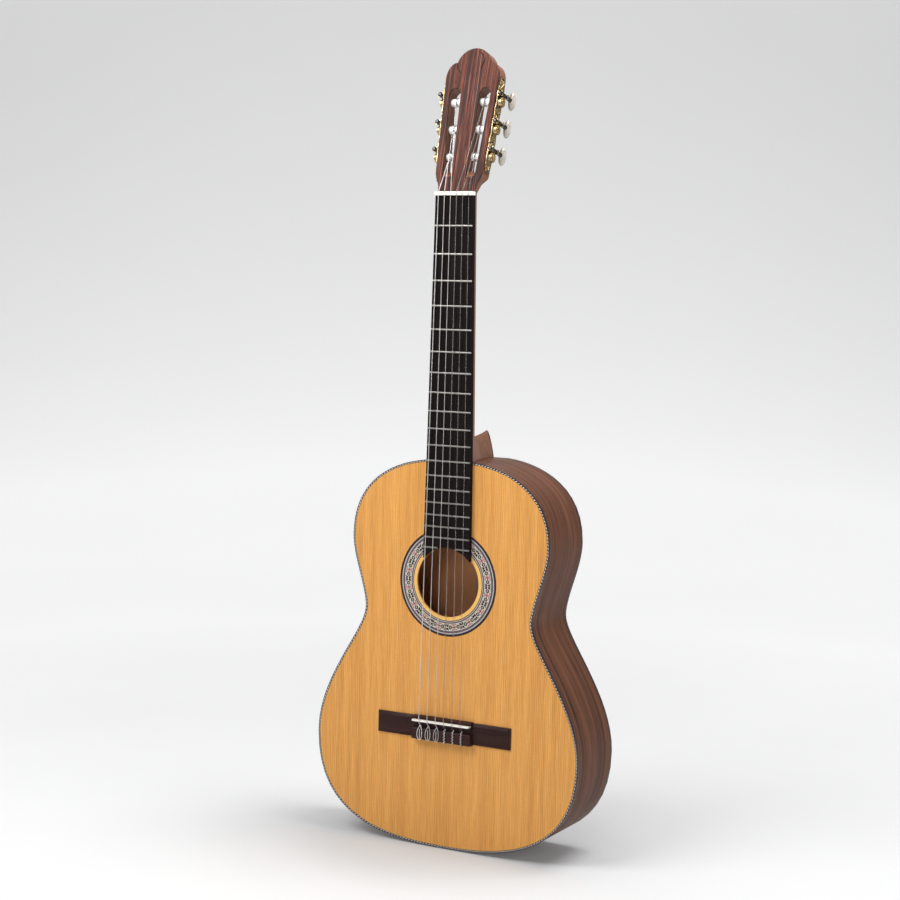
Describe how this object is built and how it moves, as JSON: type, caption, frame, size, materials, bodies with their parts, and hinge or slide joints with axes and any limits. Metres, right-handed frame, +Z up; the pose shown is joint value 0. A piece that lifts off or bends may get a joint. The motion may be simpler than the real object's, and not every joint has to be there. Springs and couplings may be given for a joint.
{
  "type": "classical guitar",
  "caption": "Classical guitar with a slotted head, worm-geared tuners, nylon strings, a mosaic rosette round the sound hole and a tie bridge.",
  "frame": {"origin": "under the middle of the tail, the bounding box's bottom centre", "axes": "+Z up the neck, +X to the treble side, -Y out of the soundboard, towards the player's right hand"},
  "size_m": [0.369, 0.1172, 0.9945],
  "materials": {
    "black_steel": "black plated",
    "bone": "polished",
    "brass": "engraved and lacquered",
    "dark_wood": "satin",
    "facing": "gloss",
    "fret_silver": "polished",
    "mahogany": "satin",
    "mosaic": "satin",
    "nylon": "clear",
    "pale_wood": "raw",
    "rosewood": "gloss",
    "spruce": "satin",
    "white_plastic": "moulded",
    "wound_silver": "wound"
  },
  "bodies": {
    "root": {"back_binding": "dark_wood", "back_bracing": "pale_wood", "back_lining": "pale_wood", "back_plate": "rosewood", "bridge": "dark_wood", "fingerboard": "dark_wood", "fret_01": "fret_silver", "fret_02": "fret_silver", "fret_03": "fret_silver", "fret_04": "fret_silver", "fret_05": "fret_silver", "fret_06": "fret_silver", "fret_07": "fret_silver", "fret_08": "fret_silver", "fret_09": "fret_silver", "fret_10": "fret_silver", "fret_11": "fret_silver", "fret_12": "fret_silver", "fret_13": "fret_silver", "fret_14": "fret_silver", "fret_15": "fret_silver", "fret_16": "fret_silver", "fret_17": "fret_silver", "fret_18": "fret_silver", "fret_19_bass": "fret_silver", "fret_19_treble": "fret_silver", "head": "mahogany", "head_veneer": "facing", "neck": "mahogany", "neck_block": "mahogany", "nut": "bone", "rib_bass": "rosewood", "rib_treble": "rosewood", "rosette": "mosaic", "saddle": "bone", "soundboard": "spruce", "string_1": "nylon", "string_2": "nylon", "string_3": "nylon", "string_4": "wound_silver", "string_5": "wound_silver", "string_6": "wound_silver", "tail_block": "mahogany", "top_binding": "dark_wood", "top_bracing": "pale_wood", "top_lining": "pale_wood", "tuner_plate_bass": "brass", "tuner_plate_treble": "brass"},
    "key_bass_1": {"key_bass_1": "black_steel"},
    "key_bass_2": {"key_bass_2": "black_steel"},
    "key_bass_3": {"key_bass_3": "black_steel"},
    "key_treble_1": {"key_treble_1": "black_steel"},
    "key_treble_2": {"key_treble_2": "black_steel"},
    "key_treble_3": {"key_treble_3": "black_steel"},
    "roller_bass_1": {"roller_bass_1": "white_plastic"},
    "roller_bass_2": {"roller_bass_2": "white_plastic"},
    "roller_bass_3": {"roller_bass_3": "white_plastic"},
    "roller_treble_1": {"roller_treble_1": "white_plastic"},
    "roller_treble_2": {"roller_treble_2": "white_plastic"},
    "roller_treble_3": {"roller_treble_3": "white_plastic"}
  },
  "joints": [
    {"name": "key_bass_1_turn", "type": "hinge", "parent": "root", "child": "key_bass_1", "pos_m": [-0.03862, -0.0275, 0.86763], "axis": [0, 0.9717, -0.2361], "continuous": true},
    {"name": "roller_bass_1_turn", "type": "hinge", "parent": "root", "child": "roller_bass_1", "pos_m": [-0.03297, -0.02958, 0.85909], "axis": [0.9993, 0.0091, 0.0375], "continuous": true},
    {"name": "key_bass_2_turn", "type": "hinge", "parent": "root", "child": "key_bass_2", "pos_m": [-0.03997, -0.01924, 0.90164], "axis": [0, 0.9717, -0.2361], "continuous": true},
    {"name": "roller_bass_2_turn", "type": "hinge", "parent": "root", "child": "roller_bass_2", "pos_m": [-0.03433, -0.02131, 0.8931], "axis": [0.9993, 0.0091, 0.0375], "continuous": true},
    {"name": "key_bass_3_turn", "type": "hinge", "parent": "root", "child": "key_bass_3", "pos_m": [-0.04132, -0.01098, 0.93565], "axis": [0, 0.9717, -0.2361], "continuous": true},
    {"name": "roller_bass_3_turn", "type": "hinge", "parent": "root", "child": "roller_bass_3", "pos_m": [-0.03568, -0.01305, 0.92711], "axis": [0.9993, 0.0091, 0.0375], "continuous": true},
    {"name": "key_treble_1_turn", "type": "hinge", "parent": "root", "child": "key_treble_1", "pos_m": [0.03862, -0.0275, 0.86763], "axis": [0, 0.9717, -0.2361], "continuous": true},
    {"name": "roller_treble_1_turn", "type": "hinge", "parent": "root", "child": "roller_treble_1", "pos_m": [0.03297, -0.02958, 0.85909], "axis": [0.9993, -0.0091, -0.0375], "continuous": true},
    {"name": "key_treble_2_turn", "type": "hinge", "parent": "root", "child": "key_treble_2", "pos_m": [0.03997, -0.01924, 0.90164], "axis": [0, 0.9717, -0.2361], "continuous": true},
    {"name": "roller_treble_2_turn", "type": "hinge", "parent": "root", "child": "roller_treble_2", "pos_m": [0.03433, -0.02131, 0.8931], "axis": [0.9993, -0.0091, -0.0375], "continuous": true},
    {"name": "key_treble_3_turn", "type": "hinge", "parent": "root", "child": "key_treble_3", "pos_m": [0.04132, -0.01098, 0.93565], "axis": [0, 0.9717, -0.2361], "continuous": true},
    {"name": "roller_treble_3_turn", "type": "hinge", "parent": "root", "child": "roller_treble_3", "pos_m": [0.03568, -0.01305, 0.92711], "axis": [0.9993, -0.0091, -0.0375], "continuous": true}
  ],
  "couplings": [
    {"joint": "roller_bass_1_turn", "follows": "key_bass_1_turn", "ratio": 0.071429},
    {"joint": "roller_bass_2_turn", "follows": "key_bass_2_turn", "ratio": 0.071429},
    {"joint": "roller_bass_3_turn", "follows": "key_bass_3_turn", "ratio": 0.071429},
    {"joint": "roller_treble_1_turn", "follows": "key_treble_1_turn", "ratio": 0.071429},
    {"joint": "roller_treble_2_turn", "follows": "key_treble_2_turn", "ratio": 0.071429},
    {"joint": "roller_treble_3_turn", "follows": "key_treble_3_turn", "ratio": 0.071429}
  ]
}
